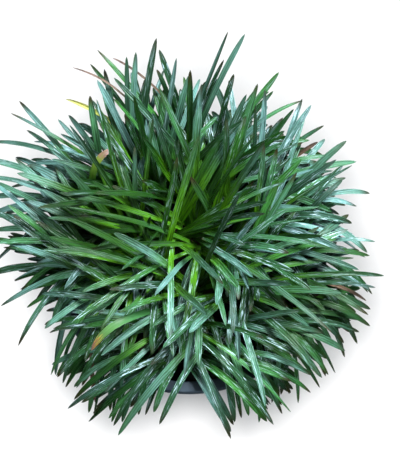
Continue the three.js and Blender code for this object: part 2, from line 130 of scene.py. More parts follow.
# Leaves that fill the inside of the mound, between two leaves of a tuft, darkened as painted
# shade.
FILLERS_PER_TUFT = 13
TRIES_PER_FILLER = 4
FILLER_SHARE = (0.2, 0.8)
FILLER_REACH = (0.62, 0.92)
FILLER_BEND = (0.86, 1.0)
FILLER_SCATTER = 3 * MM
FILLER_SINK = (1 * MM, 9 * MM)
FILLER_WIDTH = (2.7 * MM, 3.8 * MM)
FILLER_ROLL = 0.4
FILLER_TWIST = 0.5
FILLER_FRESH = 0.5
FILLER_SHADE_TONE = 0.6
FILLER_SHEEN = 0.4
RIM_CHECKS = 20
BESIDE_RIM = 2.5 * MM
OVER_RIM = 1.2 * MM

# Dry leaf feet that wrap each crown.
SHEATHS_PER_TUFT = 6
SHEATH_SPREAD = 0.3
SHEATH_OUT = 2.6 * MM
SHEATH_DOWN = 11 * MM
SHEATH_RISE = (10 * MM, 24 * MM)
SHEATH_BEND = 0.7
SHEATH_BOW = 1.5 * MM
SHEATH_LEAN = (3 * MM, 9 * MM)
SHEATH_WIDTH = (3.2 * MM, 4.6 * MM)
SHEATH_ROLL = 0.5
SHEATH_TWIST = 0.8

# One leaf of this tuft is turning at its tip, among the green ones.
TURNING_TUFT = "tuft_25"
TURNING_LEAF = {
    "bend": Vector((-63, 34, 206)) * MM,
    "tip": Vector((-44, 49, 197)) * MM,
    "width": 3.6 * MM,
    "roll": 0.1,
    "twist": 0.2,
}

# Where a leaf's material is in the list of its piece.
GREEN, DRY, TURNING = range(3)

# What turned leaves and stalks have of a green leaf's channel and thickness.
TURNED_FORMS = {
    "yellow_leaf": (1.0, 0.8),
    "orange_leaf": (1.0, 0.8),
    "dry_leaf": (1.7, 0.5),
    "dry_stalk": (0.6, 1.0),
}
SHEATH_FORM = (1.6, 0.4)

# How leaves differ. Crowns in the middle of the pot have fresher leaves, a few are painted bright
# as if lit through, some get a pale painted sheen, some painted glints; old leaves have spent
# tips.
USUAL_FRESH = 0.6
INNER_FRESH = 1.1
OUTER_FRESH = 0.5
FRESH_RANGE = (20 * MM, 60 * MM)
FRESH_DRAW = (0.2, 1.0)
BACKLIT_SHARE = 0.05
BACKLIT_FRESH = 0.95
PALE_SHARE = 0.3
PALE_LEAF_SHEEN = (0.45, 1.0)
DARK_LEAF_SHEEN = (0.0, 0.25)
GLINT_CURVE = 1.5
OLD_SPENT = 0.6
FRESH_SPENT = 3.0
SPENT_RANGE = (0.6, 1.1)

# Painted shade by a leaf's depth under the leaves over it, less at the mound's lit edge.
PAINTED_SHADE_RANGE = (9 * MM, 36 * MM)
SIDE_LIT = 0.6
SIDE_LIT_RANGE = (70 * MM, 104 * MM)

# Spots of painted shade in a deeper green, of paler painted sheen and of more painted glints: x,
# y, reach and strength of round spots, which fade out from a core that is this share of their
# reach.
SPOT_CORE = 0.4
SHADED_GREEN_SPOTS = (
    (-52 * MM, 12 * MM, 44 * MM, 1.0),
    (4 * MM, 30 * MM, 36 * MM, 0.9),
    (76 * MM, -44 * MM, 46 * MM, 0.75),
    (-48 * MM, -52 * MM, 36 * MM, 0.35),
)
SHEEN_SPOTS = (
    (-100 * MM, 56 * MM, 56 * MM, 0.32),
    (95 * MM, 30 * MM, 40 * MM, 0.15),
)
GLINT_SPOTS = ((6 * MM, -32 * MM, 62 * MM, 0.3),)
SHADED_GREEN_FRESHER = 0.2
SHADED_GREEN_DARKER = 0.6
SHADED_GREEN_LESS_SHEEN = 0.9
SHADED_GREEN_FEWER_GLINTS = 0.8

# The stage: a round floor and the dome over it, which glow away from the plant.
STAGE_RADIUS = 3.0
STAGE_SIDES = 96
DOME_STEPS = 24
GLOW = 1.0
GLOW_RANGE = (0.3, 0.7)

# The photograph's view, worked out from the pot's round rim.
CAMERA_PLACE = (0.0064, -0.1376, 0.5939)
CAMERA_TARGET = (0.0064, 0.0156, 0.155)
LENS = 60.22
SENSOR_HEIGHT = 36

# Lamps over the plant: name, place, breadth, power, colour, and whether they shine in the
# leaves. The two low ones only keep its sides from going dark.
PLANT_LAMPS = (
    ("overhead", (0.5, 0.45, 1.2), 0.6, 56, (0.90, 0.97, 1.0), True),
    ("front", (0.8, -0.9, 0.9), 0.5, 4, (0.98, 1.0, 0.98), True),
    ("left_side", (-1.2, -0.5, 0.3), 0.8, 12, (0.97, 1.0, 0.97), False),
    ("front_side", (0.1, -1.3, 0.25), 0.8, 10, (0.97, 1.0, 0.97), False),
)

# Lamps over the floor alone. The small one hangs this share of the way up to the camera, moved
# a little to the left and back, so the plant's shadow shows as a soft rim round it.
SHADOW_LAMP_WAY = 0.85
SHADOW_LAMP_SHIFT = Vector((-5, 11, 0)) * MM
SHADOW_LAMP_PLACE = Vector(CAMERA_PLACE) * SHADOW_LAMP_WAY + SHADOW_LAMP_SHIFT
FLOOR_LAMPS = (
    ("floor_fill", (-0.1, 0.2, 1.0), 1.6, 10, (1.0, 1.0, 1.0), True),
    ("floor_lamp", SHADOW_LAMP_PLACE, 0.09, 2.4, (1.0, 0.985, 0.98), True),
)

# The sky: its strength from just under the horizon to overhead.
SKY_COLOUR = (0.90, 0.96, 1.0)
SKY_RANGE = {"From Min": -0.1, "From Max": 1.0, "To Min": 0.02, "To Max": 0.38}

# Colours of a green leaf: its shades from dark to light, its painted sheen, its painted shade of a
# deeper green, its young parts, the painted shade in its grooves and painted highlights on its
# streaks, painted glints, a spent tip, and painted shade far inside the mound.
LEAF_SHADES = (
    (0.0, (0.003, 0.021, 0.001)),
    (0.4, (0.009, 0.054, 0.005)),
    (0.75, (0.019, 0.104, 0.012)),
    (1.0, (0.038, 0.170, 0.028)),
)
PAINTED_SHEEN_COLOUR = (0.110, 0.235, 0.220)
SHADED_GREEN_COLOUR = (0.017, 0.072, 0.001)
YOUNG_COLOUR = (0.072, 0.240, 0.002)
GROOVE_SHADE_COLOUR = (0.003, 0.018, 0.003)
STREAK_HIGHLIGHT_COLOUR = (0.150, 0.310, 0.290)
GLINT_COLOUR = (0.500, 0.680, 0.760)
SPENT_COLOUR = (0.026, 0.022, 0.007)
PAINTED_SHADE_COLOUR = (0.001, 0.003, 0.001)
PAINTED_SHADE_SHARE = 0.94

# Turned leaves and stalks: colours from foot to tip, the colour of their patches, their
# roughness, and where along them the patches begin.
TURNED_LOOKS = {
    "dry_leaf": (
        ((0.0, (0.10, 0.06, 0.03)), (0.6, (0.13, 0.08, 0.045)), (1.0, (0.05, 0.028, 0.018))),
        (0.03, 0.016, 0.010),
        0.7,
        0.0,
    ),
    "yellow_leaf": (
        (
            (0.0, (0.06, 0.16, 0.01)),
            (0.5, (0.46, 0.55, 0.10)),
            (0.9, (0.72, 0.68, 0.20)),
            (1.0, (0.40, 0.36, 0.24)),
        ),
        (0.42, 0.46, 0.08),
        0.4,
        0.0,
    ),
    "orange_leaf": (
        (
            (0.0, (0.012, 0.070, 0.006)),
            (0.45, (0.035, 0.130, 0.040)),
            (0.80, (0.090, 0.210, 0.060)),
            (0.87, (0.460, 0.460, 0.080)),
            (0.92, (0.560, 0.230, 0.060)),
            (0.97, (0.200, 0.130, 0.120)),
        ),
        (0.22, 0.10, 0.07),
        0.45,
        0.92,
    ),
    "turning_leaf": (
        (
            (0.0, (0.012, 0.070, 0.006)),
            (0.50, (0.040, 0.130, 0.008)),
            (0.78, (0.110, 0.170, 0.012)),
            (0.86, (0.170, 0.095, 0.050)),
            (0.95, (0.110, 0.065, 0.050)),
        ),
        (0.22, 0.10, 0.07),
        0.5,
        0.84,
    ),
    "dry_stalk": (
        ((0.0, (0.22, 0.18, 0.10)), (0.5, (0.30, 0.22, 0.15)), (1.0, (0.16, 0.09, 0.08))),
        (0.08, 0.05, 0.04),
        0.65,
        0.0,
    ),
}

# Colours of the pot's plastic and the dust on it, of the potting mix and the bark in it, and
# of the stage's paper.
PLASTIC_DARK = (0.020, 0.032, 0.046)
PLASTIC_LIGHT = (0.034, 0.052, 0.072)
DUST_COLOUR = (0.080, 0.100, 0.115)
DUST_SHARE = 0.30
MIX_DARK = (0.0012, 0.0010, 0.0008)
MIX_LIGHT = (0.0045, 0.0034, 0.0026)
BARK_DARK = (0.0025, 0.0016, 0.0012)
BARK_LIGHT = (0.0085, 0.0055, 0.0040)
CRUMB_COLOUR = (0.016, 0.011, 0.008)
PAPER_DARK = (0.90, 0.90, 0.90)
PAPER_LIGHT = (0.93, 0.93, 0.93)
WHITE = (1.0, 1.0, 1.0)


def ease(value, low, high):
    """0 below low, 1 above high and smooth between them."""
    x = min(max((value - low) / (high - low), 0), 1)
    return x * x * (3 - 2 * x)


def strength_at(spot, round_spots):
    """The greatest strength, at one place, of round spots that fade from the middle out."""
    return max(
        strength * (1 - ease(math.hypot(spot.x - x, spot.y - y), SPOT_CORE * reach, reach))
        for x, y, reach, strength in round_spots
    )


def either_way(draw, most):
    """A draw of up to this much to either side."""
    return draw.uniform(-most, most)


# Materials

# How noise is stretched over a leaf: by across, along and tone, and a shift that sets it apart.
STRIPE_GRAIN = (1.9, 7.0, 70.0, 0.0)
STRIPE_NOISE = {"scale": 1.0, "detail": 3.0, "rough": 0.7}
VEIN_TURNS = 9.4
VEIN_DEPTH = -0.13
GLINT_PATCH_GRAIN = (0.8, 4.0, 50.0, 3.0)
GLINT_PATCH_NOISE = {"scale": 1.0, "detail": 1.0}
GLINT_PATCH_RANGE = (0.40, 0.62)
GLINT_PATCH_HELP = 0.08
DASH_GRAIN = (4.4, 9.0, 90.0, 7.0)
DASH_NOISE = {"scale": 1.0, "detail": 2.0, "rough": 0.6}
DASH_RANGE = (0.615, 0.70)

# A green leaf. Ranges are low and high, and what they turn into where that isn't 0 to 1.
FOOT_PAINTED_SHADE = (0.05, 0.55, 0.6, 1.0)
OPEN_RANGE = (0.2, 0.9)
FRESH_SHEEN_LATER = -0.15
SHEEN_ALONG = (0.1, 0.6)
SHADED_GREEN_ALONG = (0.55, 1.0, 0.95, 0.1)
SHADED_GREEN_BY_TONE = 0.5
YOUNG_ALONG = -1.5
YOUNG_RANGE = (-0.33, 0.67)
GROOVE_RANGE = (0.36, 0.50, 1.0, 0.0)
GROOVE_SHARE = 0.7
GROOVE_SHADE_IN_SHEEN = -0.35
STREAK_RANGE = (0.52, 0.62)
STREAK_SHARE = 0.04
STREAK_IN_SHEEN = 0.5
SPENT_ALONG = (0.86, 0.98)
SHINE_RANGE = (0.42, 0.58, 0.50, 0.26)

# A turned leaf: how far stripes and patches of noise shift and cover its colours.
TURNED_STRIPES = 0.3
TURNED_SHIFT = 0.15
PATCH_SCALE = 420.0
PATCH_RANGE = (0.50, 0.64)
PATCH_SHARE = 0.75
PATCH_STRIPES = 0.35
PATCH_FADE = 0.1

# The pot's plastic, with clouds, scuffs and a fine grain. Dust lies in the scuffs.
CLOUD_NOISE = {"scale": 22.0, "detail": 4.0}
SCUFF_NOISE = {"scale": 160.0, "detail": 4.0, "rough": 0.7}
PLASTIC_GRAIN = {"scale": 900.0, "detail": 2.0}
DUST_RANGE = (0.56, 0.74)
SCUFF_SHINE = (0.3, 0.7, 0.50, 0.68)

# The potting mix and its bark, from the dark between the lumps to the crumbs, and the paper.
LUMP_NOISE = {"scale": 260.0, "detail": 5.0, "rough": 0.65}
CRUMB_NOISE = {"scale": 900.0, "detail": 4.0, "rough": 0.7}
LUMP_STOPS = (0.3, 0.62, 0.8)
PAPER_NOISE = {"scale": 40.0, "detail": 2.0}


class Nodes:
    """A material's node tree, with short calls to add and join its nodes."""

    def __init__(self, name):
        self.material = bpy.data.materials.new(name)
        self.material.use_nodes = True
        self.tree = self.material.node_tree
        self.shader = self.tree.nodes["Principled BSDF"]

    def node(self, kind, **settings):
        made = self.tree.nodes.new(kind)
        for name, value in settings.items():
            setattr(made, name, value)
        return made

    def put(self, socket, value):
        """Gives a socket another one's output, a colour or a number."""
        if isinstance(value, bpy.types.NodeSocket):
            self.tree.links.new(value, socket)
        elif isinstance(value, tuple):
            socket.default_value = (*value, 1.0)
        else:
            socket.default_value = value

    def attribute(self, name):
        return self.node("ShaderNodeAttribute", attribute_name=name).outputs["Fac"]

    def place(self):
        return self.node("ShaderNodeTexCoord").outputs["Object"]

    def maths(self, operation, first, second=0.5, third=0.5, clamp=False):
        made = self.node("ShaderNodeMath", operation=operation, use_clamp=clamp)
        for socket, value in zip(made.inputs, (first, second, third)):
            self.put(socket, value)
        return made.outputs[0]

    def times(self, first, second):
        return self.maths("MULTIPLY", first, second)

    def line(self, value, slope, start):
        return self.maths("MULTIPLY_ADD", value, slope, start)

    def between(self, value, low, high, to_low=0.0, to_high=1.0):
        """The value's smooth place between low and high, on a scale of its own."""
        made = self.node("ShaderNodeMapRange", interpolation_type="SMOOTHSTEP")
        for socket, number in zip(made.inputs, (value, low, high, to_low, to_high)):
            self.put(socket, number)
        return made.outputs[0]

    def mix(self, share, first, second):
        """The first colour with a share of the second over it."""
        made = self.node("ShaderNodeMix", data_type="RGBA")
        self.put(made.inputs["Factor"], share)
        self.put(made.inputs["A"], first)
        self.put(made.inputs["B"], second)
        return made.outputs["Result"]

    def ramp(self, value, stops):
        made = self.node("ShaderNodeValToRGB")
        elements = made.color_ramp.elements
        while len(elements) < len(stops):
            elements.new(0.5)
        for element, (place, colour) in zip(elements, stops):
            element.position = place
            element.color = (*colour, 1.0)
        self.put(made.inputs["Fac"], value)
        return made.outputs["Color"]

    def vector(self, x, y, z):
        made = self.node("ShaderNodeCombineXYZ")
        for socket, value in zip(made.inputs, (x, y, z)):
            self.put(socket, value)
        return made.outputs[0]

    def noise(self, vector, scale, detail=3.0, rough=0.55):
        made = self.node("ShaderNodeTexNoise")
        self.put(made.inputs["Vector"], vector)
        self.put(made.inputs["Scale"], scale)
        self.put(made.inputs["Detail"], detail)
        self.put(made.inputs["Roughness"], rough)
        return made.outputs["Fac"]

    def bump(self, height, strength, distance):
        made = self.node("ShaderNodeBump")
        self.put(made.inputs["Strength"], strength)
        self.put(made.inputs["Distance"], distance)
        self.put(made.inputs["Height"], height)
        self.put(self.shader.inputs["Normal"], made.outputs["Normal"])

    def finish(self, colour, roughness, specular):
        self.put(self.shader.inputs["Base Color"], colour)
        self.put(self.shader.inputs["Roughness"], roughness)
        self.put(self.shader.inputs["Specular IOR Level"], specular)
        return self.material


def leaf_place(nodes, across, along, tone, shift):
    """A place to read noise at, which runs along a leaf and is different on each leaf."""
    return nodes.vector(
        nodes.times(nodes.attribute("across"), across),
        nodes.times(nodes.attribute("along"), along),
        nodes.line(nodes.attribute("tone"), tone, shift),
    )


def leaf_stripes(nodes):
    """Veins and streaks of noise that run along a leaf."""
    rib_noise = nodes.noise(leaf_place(nodes, *STRIPE_GRAIN), **STRIPE_NOISE)
    veins = nodes.maths("COSINE", nodes.times(nodes.attribute("across"), VEIN_TURNS))
    return nodes.line(veins, VEIN_DEPTH, rib_noise)


def leaf_glints(nodes):
    """Painted glints: short, thin, light dashes along the veins, gathered in patches."""
    glint_patches = nodes.noise(leaf_place(nodes, *GLINT_PATCH_GRAIN), **GLINT_PATCH_NOISE)
    glint_patches = nodes.between(glint_patches, *GLINT_PATCH_RANGE)
    dashes = nodes.noise(leaf_place(nodes, *DASH_GRAIN), **DASH_NOISE)
    return nodes.between(nodes.line(glint_patches, GLINT_PATCH_HELP, dashes), *DASH_RANGE)


def open_to_sky(nodes):
    """How far a surface faces up: where painted sheen, highlights and glints show."""
    facing = nodes.node("ShaderNodeSeparateXYZ")
    nodes.put(facing.inputs[0], nodes.node("ShaderNodeNewGeometry").outputs["Normal"])
    return nodes.between(facing.outputs["Z"], *OPEN_RANGE)


def green_leaf_material():
    """A leaf's own tone, and over it painted sheen, shade, highlights and glints, young green and
    a spent tip.
    """
    nodes = Nodes("green_leaf")
    along = nodes.attribute("along")
    tone = nodes.attribute("tone")
    shaded_green = nodes.attribute("shaded_green")
    fresh = nodes.attribute("fresh")
    upward = open_to_sky(nodes)
    stripes = leaf_stripes(nodes)

    # Painted shade: the shaded-green spots make the leaf darker.
    shade = nodes.times(tone, nodes.line(shaded_green, -SHADED_GREEN_DARKER, 1.0))
    # Painted shade: darker towards the leaf's foot.
    body = nodes.ramp(nodes.times(shade, nodes.between(along, *FOOT_PAINTED_SHADE)), LEAF_SHADES)

    # Painted sheen: a pale reflection of the sky, on the outer part of the leaf where it faces up.
    sheen_place = nodes.line(fresh, FRESH_SHEEN_LATER, along)
    painted_sheen = nodes.times(nodes.attribute("painted_sheen"), nodes.between(sheen_place, *SHEEN_ALONG))
    painted_sheen = nodes.times(painted_sheen, upward)
    painted_sheen = nodes.times(painted_sheen, nodes.line(shaded_green, -SHADED_GREEN_LESS_SHEEN, 1.0))
    body = nodes.mix(painted_sheen, body, PAINTED_SHEEN_COLOUR)

    # Painted shade: a deeper green in the shaded-green spots, strongest towards the foot.
    deeper = nodes.times(shaded_green, nodes.between(along, *SHADED_GREEN_ALONG))
    deeper = nodes.times(deeper, nodes.line(tone, SHADED_GREEN_BY_TONE, 1 - SHADED_GREEN_BY_TONE))
    body = nodes.mix(deeper, body, SHADED_GREEN_COLOUR)

    young = nodes.line(along, YOUNG_ALONG, fresh)
    body = nodes.mix(nodes.between(young, *YOUNG_RANGE), body, YOUNG_COLOUR)

    # Painted shade in the grooves between the ribs, where the bump is low, less under the painted
    # sheen.
    grooves = nodes.between(stripes, *GROOVE_RANGE)
    grooves = nodes.times(grooves, nodes.line(painted_sheen, GROOVE_SHADE_IN_SHEEN, GROOVE_SHARE))
    body = nodes.mix(grooves, body, GROOVE_SHADE_COLOUR)

    # Painted highlights: pale streaks on the ribs where they face up, more under the painted
    # sheen.
    streaks = nodes.times(nodes.between(stripes, *STREAK_RANGE), upward)
    streaks = nodes.times(streaks, nodes.line(painted_sheen, STREAK_IN_SHEEN, STREAK_SHARE))
    body = nodes.mix(streaks, body, STREAK_HIGHLIGHT_COLOUR)

    # Painted glints where the leaf faces up, fewer in the shaded-green spots.
    glints = nodes.times(leaf_glints(nodes), upward)
    glints = nodes.times(glints, nodes.attribute("painted_glint"))
    glints = nodes.times(glints, nodes.line(shaded_green, -SHADED_GREEN_FEWER_GLINTS, 1.0))
    body = nodes.mix(glints, body, GLINT_COLOUR)

    tip = nodes.times(nodes.between(along, *SPENT_ALONG), nodes.attribute("spent"))
    body = nodes.mix(tip, body, SPENT_COLOUR)
    # Painted shade far inside the mound.
    body = nodes.mix(nodes.times(nodes.attribute("painted_shade"), PAINTED_SHADE_SHARE), body, PAINTED_SHADE_COLOUR)
    nodes.bump(stripes, strength=0.8, distance=0.6 * MM)
    return nodes.finish(body, nodes.between(stripes, *SHINE_RANGE), specular=0.2)


def turned_leaf_material(name, stops, patches, roughness, patches_from):
    """A leaf that has lost its green: stops of colour from foot to tip, with patches."""
    nodes = Nodes(name)
    stripes = leaf_stripes(nodes)
    along = nodes.attribute("along")
    shifted = nodes.maths("SUBTRACT", along, TURNED_SHIFT)
    body = nodes.ramp(nodes.line(stripes, TURNED_STRIPES, shifted), stops)
    spots = nodes.between(nodes.noise(nodes.place(), scale=PATCH_SCALE), *PATCH_RANGE)
    spotted = nodes.line(spots, PATCH_SHARE, nodes.times(stripes, PATCH_STRIPES))
    turned = nodes.between(along, patches_from - PATCH_FADE, patches_from)
    body = nodes.mix(nodes.maths("MULTIPLY", spotted, turned, clamp=True), body, patches)
    nodes.bump(stripes, strength=0.6, distance=0.3 * MM)
    return nodes.finish(body, roughness, specular=0.4)


def pot_material():
    """Dark plastic, a little cloudy, with dust in its scuffs."""
    nodes = Nodes("pot_plastic")
    place = nodes.place()
    scuffs = nodes.noise(place, **SCUFF_NOISE)
    body = nodes.mix(nodes.noise(place, **CLOUD_NOISE), PLASTIC_DARK, PLASTIC_LIGHT)
    dust = nodes.times(nodes.between(scuffs, *DUST_RANGE), DUST_SHARE)
    body = nodes.mix(dust, body, DUST_COLOUR)
    nodes.bump(nodes.noise(place, **PLASTIC_GRAIN), strength=0.12, distance=0.2 * MM)
    return nodes.finish(body, nodes.between(scuffs, *SCUFF_SHINE), specular=0.3)


def soil_material(name, dark, light):
    """Dark lumps with paler crumbs between them."""
    nodes = Nodes(name)
    place = nodes.place()
    stops = tuple(zip(LUMP_STOPS, (dark, light, CRUMB_COLOUR)))
    body = nodes.ramp(nodes.noise(place, **LUMP_NOISE), stops)
    nodes.bump(nodes.noise(place, **CRUMB_NOISE), strength=0.8, distance=0.8 * MM)
    return nodes.finish(body, roughness=0.92, specular=0.25)


def stage_material():
    """White paper that glows of itself away from the plant, so that floor and backdrop meet."""
    nodes = Nodes("stage")
    place = nodes.place()
    body = nodes.mix(nodes.noise(place, **PAPER_NOISE), PAPER_DARK, PAPER_LIGHT)
    away = nodes.node("ShaderNodeVectorMath", operation="LENGTH")
    nodes.put(away.inputs[0], place)
    glow = nodes.between(away.outputs["Value"], *GLOW_RANGE, to_high=GLOW)
    nodes.put(nodes.shader.inputs["Emission Color"], WHITE)
    nodes.put(nodes.shader.inputs["Emission Strength"], glow)
    return nodes.finish(body, roughness=0.8, specular=0.1)


# Mesh helpers


def piece(name, vertices, faces, materials, slots=None, smooth_under=55):
    """A mesh object of these corners and faces, with its sharp edges by their angle."""
    mesh = bpy.data.meshes.new(name)
    mesh.from_pydata(vertices, [], faces)
    for material in materials:
        mesh.materials.append(material)
    if slots:
        mesh.polygons.foreach_set("material_index", slots)
    mesh.polygons.foreach_set("use_smooth", [True] * len(mesh.polygons))
    mesh.set_sharp_from_angle(angle=math.radians(smooth_under))
    mesh.update()
    made = bpy.data.objects.new(name, mesh)
    bpy.context.scene.collection.objects.link(made)
    return made


def ring(radius, height, sides):
    """The corners of a level circle about the pot's axis."""
    turns = [2 * math.pi * i / sides for i in range(sides)]
    return [Vector((radius * math.cos(turn), radius * math.sin(turn), height)) for turn in turns]


def ring_faces(low, high, count):
    """The quads between two rings of corners whose first numbers are low and high."""
    pairs = [(i, (i + 1) % count) for i in range(count)]
    return [(low + i, low + j, high + j, high + i) for i, j in pairs]


def round_faces(rings, sides):
    """The faces of a round solid: its first pole, so many rings of corners, its last pole."""
    faces = [(0, 1 + (i + 1) % sides, 1 + i) for i in range(sides)]
    for k in range(rings - 1):
        faces += ring_faces(1 + k * sides, 1 + (k + 1) * sides, sides)
    top = 1 + (rings - 1) * sides
    last = top + sides
    faces += [(top + i, top + (i + 1) % sides, last) for i in range(sides)]
    return faces


def lathe(name, profile, sides, materials):
    """A closed solid of revolution from its lowest pole, round the outside, to its last pole."""
    vertices = [Vector((0, 0, profile[0][1]))]
    for radius, height in profile[1:-1]:
        vertices += ring(radius, height, sides)
    vertices.append(Vector((0, 0, profile[-1][1])))
    return piece(name, vertices, round_faces(len(profile) - 2, sides), materials)


def rounded(profile, size, steps=4):
    """The profile with each inner corner rounded off by a small curve."""
    made = [profile[0]]
    for before, corner, after in zip(profile, profile[1:], profile[2:]):
        corner = Vector(corner)
        back = Vector(before) - corner
        ahead = Vector(after) - corner
        cut = min(size, LONGEST_CUT * back.length, LONGEST_CUT * ahead.length)
        start = corner + back.normalized() * cut
        end = corner + ahead.normalized() * cut
        for step in range(steps + 1):
            share = step / steps
            made.append(tuple(start.lerp(corner, share).lerp(corner.lerp(end, share), share)))
    made.append(profile[-1])
    return made


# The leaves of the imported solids


def welded(name):
    """A node's corners with doubles joined, and the numbers of those that each is joined to."""
    mesh = NODES[name].data
    numbers = {}
    spots = []
    own = []
    for vertex in mesh.vertices:
        key = tuple(round(c, WELD_DIGITS) for c in vertex.co)
        if key not in numbers:
            numbers[key] = len(spots)
            spots.append(vertex.co.copy())
        own.append(numbers[key])
    near = [set() for _ in spots]
    for edge in mesh.edges:
        a, b = (own[i] for i in edge.vertices)
        if a != b:
            near[a].add(b)
            near[b].add(a)
    return spots, near


def middle_and_keel(spots, corner_numbers):
    """The middle between a section's two edges, its keel and its width.

    The keel is the corner that lies equally far from the other two.
    """
    corners = [spots[i] for i in corner_numbers]

    def uneven(i):
        a, b = corners[i - 1], corners[i - 2]
        return abs((corners[i] - a).length - (corners[i] - b).length)

    keel = min(range(3), key=uneven)
    a, b = corners[keel - 1], corners[keel - 2]
    return (a + b) / 2, corners[keel], (a - b).length


def curve_at(leaf, t):
    """The place at the share t of a leaf's length, from root to tip."""
    return leaf["root"].lerp(leaf["bend"], t).lerp(leaf["bend"].lerp(leaf["tip"], t), t)


def heading_at(leaf, t):
    ahead = (leaf["bend"] - leaf["root"]).lerp(leaf["tip"] - leaf["bend"], t)
    return ahead.normalized()


def level_side(along):
    """The level direction across a heading, or +X where it points straight up."""
    side = along.cross(UP)
    return side.normalized() if side.length > SHORTEST_SIDE else Vector((1, 0, 0))


def roll_of(leaf, t, middle, keel):
    """How far a leaf is rolled about its own line, from level, at t."""
    along = heading_at(leaf, t)
    side = (keel - middle).cross(along).normalized()
    level = level_side(along)
    return math.atan2(level.cross(side).dot(along), level.dot(side))


def packed_leaves(name):
    """Each leaf of a node as its curve, width, roll and twist, read back from the solid.

    A leaf's tip is the one corner that has three others next to it, and its sections follow
    from there, three corners each.
    """
    spots, near = welded(name)
    found = []
    for apex, around in enumerate(near):
        if len(around) != 3:
            continue
        rings = [around]
        seen = {apex} | around
        for _ in LEAF_STATIONS:
            back = set().union(*(near[i] for i in rings[0])) - seen
            seen |= back
            rings.insert(0, back)
        root = sum((spots[i] for i in rings[0]), Vector()) / len(rings[0])
        tip = spots[apex]
        sections = [middle_and_keel(spots, sorted(corners)) for corners in rings[1:]]
        bend = Vector()
        for t, (middle, _, _) in zip(LEAF_STATIONS, sections):
            one = (middle - root * (1 - t) ** 2 - tip * t * t) / (2 * t * (1 - t))
            bend += one / len(LEAF_STATIONS)
        _, _, width = sections[len(sections) // 2]
        leaf = {"root": root, "bend": bend, "tip": tip, "width": width}
        first, last = LEAF_STATIONS[0], LEAF_STATIONS[-1]
        low = roll_of(leaf, first, *sections[0][:2])
        high = roll_of(leaf, last, *sections[-1][:2])
        leaf["twist"] = (high - low) / (last - first)
        leaf["roll"] = low - leaf["twist"] * first
        found.append(leaf)
    return found


# Leaf shapes


class Canopy:
    """How high the leaves stand over each place, to paint shade by how far below them a spot lies.
    """

    CELL = 7 * MM
    STEPS = 24
    HIGH_SHARE = 0.75
    LEAST_WEIGHT = 0.05

    def __init__(self, leaves):
        heights = {}
        for leaf in leaves:
            for step in range(self.STEPS + 1):
                spot = curve_at(leaf, step / self.STEPS)
                cell = (round(spot.x / self.CELL), round(spot.y / self.CELL))
                heights.setdefault(cell, []).append(spot.z)
        self.levels = {}
        for column, row in heights:
            near = []
            for i in (-1, 0, 1):
                for j in (-1, 0, 1):
                    near += heights.get((column + i, row + j), [])
            near.sort()
            self.levels[column, row] = near[int(self.HIGH_SHARE * (len(near) - 1))]

    def depth(self, spot):
        """How far a spot lies below the leaves over it, and 0 outside them."""
        x = spot.x / self.CELL
        y = spot.y / self.CELL
        column = math.floor(x)
        row = math.floor(y)
        total = weight = 0
        for i in (0, 1):
            for j in (0, 1):
                level = self.levels.get((column + i, row + j))
                share = (1 - abs(x - column - i)) * (1 - abs(y - row - j))
                if level is not None:
                    total += share * level
                    weight += share
        return max(0, total / weight - spot.z) if weight > self.LEAST_WEIGHT else 0


def width_share(t):
    """A strap leaf's width along it, of its full width: narrow at the foot, blunt at the tip."""
    foot = FOOT_WIDTH + (1 - FOOT_WIDTH) * ease(t, 0, FOOT_END)
    past = max(0, (t - TIP_FROM) / (1 - TIP_FROM))
    return foot * max(1 - past**TIP_CURVE, 0) ** TIP_BLUNTNESS + TIP_WIDTH


